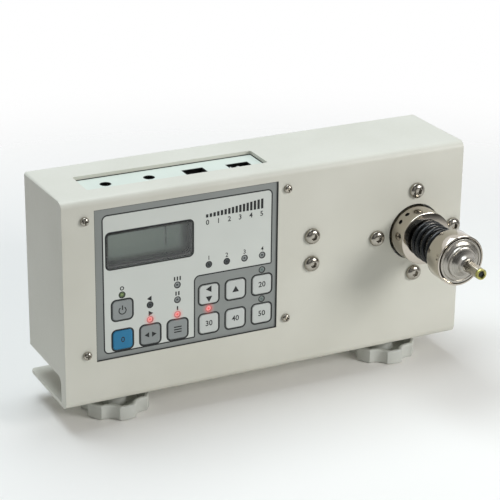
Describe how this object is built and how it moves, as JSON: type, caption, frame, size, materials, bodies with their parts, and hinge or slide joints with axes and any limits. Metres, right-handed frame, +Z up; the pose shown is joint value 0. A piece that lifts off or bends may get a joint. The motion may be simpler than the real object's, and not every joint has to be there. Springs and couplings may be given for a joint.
{
  "type": "digital torque meter",
  "caption": "Bench torque meter in a folded steel case with keypad and display, a sprung run-down adapter on its torque shaft and two clamp knobs below.",
  "frame": {"origin": "centre of the bounding box at the height of the knobs' undersides", "axes": "+X along the case to the adapter's side, +Y from the front panel to the rear cover, +Z up"},
  "size_m": [0.28, 0.1466, 0.1526],
  "materials": {
    "ivory_shell_paint": "fine textured satin paint on steel sheet",
    "zinc_plated_sheet": "zinc plated",
    "turned_steel": "turned, bright",
    "polished_nickel": "polished nickel plate on steel",
    "oiled_black_spring_steel": "black oxide, oiled",
    "machined_aluminium": "machined",
    "printed_polyester_film": "fine matt, printed from behind",
    "grey_key_film": "fine matt, printed from behind",
    "blue_key_film": "fine matt, printed from behind",
    "light_key_film": "fine matt, printed from behind",
    "clear_acrylic_window": "clear, glossy",
    "liquid_crystal_glass": "grey-green display glass in a bezel",
    "green_circuit_board": "solder resist on glass fibre board",
    "black_moulded_plastic": "moulded, satin",
    "grey_moulded_knob_plastic": "moulded, satin",
    "green_cell_wrap": "shrink wrap"
  },
  "bodies": {
    "case": {"adapter_base": "polished_nickel", "adapter_spring": "oiled_black_spring_steel", "bearing_housing": "machined_aluminium", "cell_pack": "green_cell_wrap", "cell_tray": "black_moulded_plastic", "dc_power_jack": "black_moulded_plastic", "display_board": "green_circuit_board", "display_subpanel": "zinc_plated_sheet", "display_window": "clear_acrylic_window", "front_bearing": "turned_steel", "front_overlay": "printed_polyester_film", "lcd_module": "liquid_crystal_glass", "left_weld_nut": "zinc_plated_sheet", "lever_arm": "machined_aluminium", "load_cell": "machined_aluminium", "load_cell_bracket": "zinc_plated_sheet", "load_cell_screw_1": "turned_steel", "load_cell_screw_2": "turned_steel", "main_board": "green_circuit_board", "main_shell": "ivory_shell_paint", "modular_socket": "black_moulded_plastic", "panel_screw_1": "turned_steel", "panel_screw_2": "turned_steel", "panel_screw_3": "turned_steel", "panel_screw_4": "turned_steel", "rear_bearing": "turned_steel", "rear_cover": "ivory_shell_paint", "rear_cover_screw_1": "turned_steel", "rear_cover_screw_2": "turned_steel", "rear_cover_screw_3": "turned_steel", "rear_cover_screw_4": "turned_steel", "right_weld_nut": "zinc_plated_sheet", "sensor_screw_1": "turned_steel", "sensor_screw_2": "turned_steel", "sensor_screw_3": "turned_steel", "sensor_screw_4": "turned_steel", "serial_socket": "black_moulded_plastic", "signal_output_jack": "black_moulded_plastic", "socket_bracket": "ivory_shell_paint", "torque_shaft": "turned_steel"},
    "power_key": {"power_key": "grey_key_film"},
    "reset_key": {"reset_key": "blue_key_film"},
    "unit_key": {"unit_key": "grey_key_film"},
    "mode_key": {"mode_key": "grey_key_film"},
    "set_key": {"set_key": "light_key_film"},
    "up_key": {"up_key": "light_key_film"},
    "setting_key_top_right": {"setting_key_top_right": "light_key_film"},
    "setting_key_lower_left": {"setting_key_lower_left": "light_key_film"},
    "setting_key_lower_middle": {"setting_key_lower_middle": "light_key_film"},
    "setting_key_lower_right": {"setting_key_lower_right": "light_key_film"},
    "adapter_slider": {"adapter_cup": "polished_nickel", "thrust_bearing": "turned_steel"},
    "adapter_screw": {"drive_bolt": "polished_nickel", "thrust_disc": "turned_steel"},
    "left_knob_carrier": {"left_knob_washer": "turned_steel"},
    "left_knob": {"left_clamp_knob": "grey_moulded_knob_plastic", "left_knob_stud": "turned_steel"},
    "right_knob_carrier": {"right_knob_washer": "turned_steel"},
    "right_knob": {"right_clamp_knob": "grey_moulded_knob_plastic", "right_knob_stud": "turned_steel"}
  },
  "joints": [
    {"name": "power_key_press", "type": "slide", "parent": "case", "child": "power_key", "axis": [0, 1, 0], "range_m": [0, 0.0004], "stiffness_N_per_m": 1500},
    {"name": "reset_key_press", "type": "slide", "parent": "case", "child": "reset_key", "axis": [0, 1, 0], "range_m": [0, 0.0004], "stiffness_N_per_m": 1500},
    {"name": "unit_key_press", "type": "slide", "parent": "case", "child": "unit_key", "axis": [0, 1, 0], "range_m": [0, 0.0004], "stiffness_N_per_m": 1500},
    {"name": "mode_key_press", "type": "slide", "parent": "case", "child": "mode_key", "axis": [0, 1, 0], "range_m": [0, 0.0004], "stiffness_N_per_m": 1500},
    {"name": "set_key_press", "type": "slide", "parent": "case", "child": "set_key", "axis": [0, 1, 0], "range_m": [0, 0.0004], "stiffness_N_per_m": 1500},
    {"name": "up_key_press", "type": "slide", "parent": "case", "child": "up_key", "axis": [0, 1, 0], "range_m": [0, 0.0004], "stiffness_N_per_m": 1500},
    {"name": "setting_key_top_right_press", "type": "slide", "parent": "case", "child": "setting_key_top_right", "axis": [0, 1, 0], "range_m": [0, 0.0004], "stiffness_N_per_m": 1500},
    {"name": "setting_key_lower_left_press", "type": "slide", "parent": "case", "child": "setting_key_lower_left", "axis": [0, 1, 0], "range_m": [0, 0.0004], "stiffness_N_per_m": 1500},
    {"name": "setting_key_lower_middle_press", "type": "slide", "parent": "case", "child": "setting_key_lower_middle", "axis": [0, 1, 0], "range_m": [0, 0.0004], "stiffness_N_per_m": 1500},
    {"name": "setting_key_lower_right_press", "type": "slide", "parent": "case", "child": "setting_key_lower_right", "axis": [0, 1, 0], "range_m": [0, 0.0004], "stiffness_N_per_m": 1500},
    {"name": "adapter_slide", "type": "slide", "parent": "case", "child": "adapter_slider", "axis": [0, 1, 0], "range_m": [0, 0.006], "deforming": ["adapter_spring"]},
    {"name": "adapter_turn", "type": "hinge", "parent": "adapter_slider", "child": "adapter_screw", "pos_m": [0.1053, 0.0079, 0.0955], "axis": [0, 1, 0], "range_deg": [0, 1730]},
    {"name": "left_knob_rise", "type": "slide", "parent": "case", "child": "left_knob_carrier", "axis": [0, 0, -1], "range_m": [0, 0.0075]},
    {"name": "left_knob_turn", "type": "hinge", "parent": "left_knob_carrier", "child": "left_knob", "pos_m": [-0.098, 0.0324, 0.0162], "axis": [0, 0, -1], "range_deg": [0, 2162]},
    {"name": "right_knob_rise", "type": "slide", "parent": "case", "child": "right_knob_carrier", "axis": [0, 0, -1], "range_m": [0, 0.0075]},
    {"name": "right_knob_turn", "type": "hinge", "parent": "right_knob_carrier", "child": "right_knob", "pos_m": [0.098, 0.0324, 0.0162], "axis": [0, 0, -1], "range_deg": [0, 2162]}
  ],
  "couplings": [
    {"joint": "adapter_turn", "follows": "adapter_slide", "rad_per_m": 5026.5},
    {"joint": "left_knob_turn", "follows": "left_knob_rise", "rad_per_m": 5026.5},
    {"joint": "right_knob_turn", "follows": "right_knob_rise", "rad_per_m": 5026.5}
  ]
}
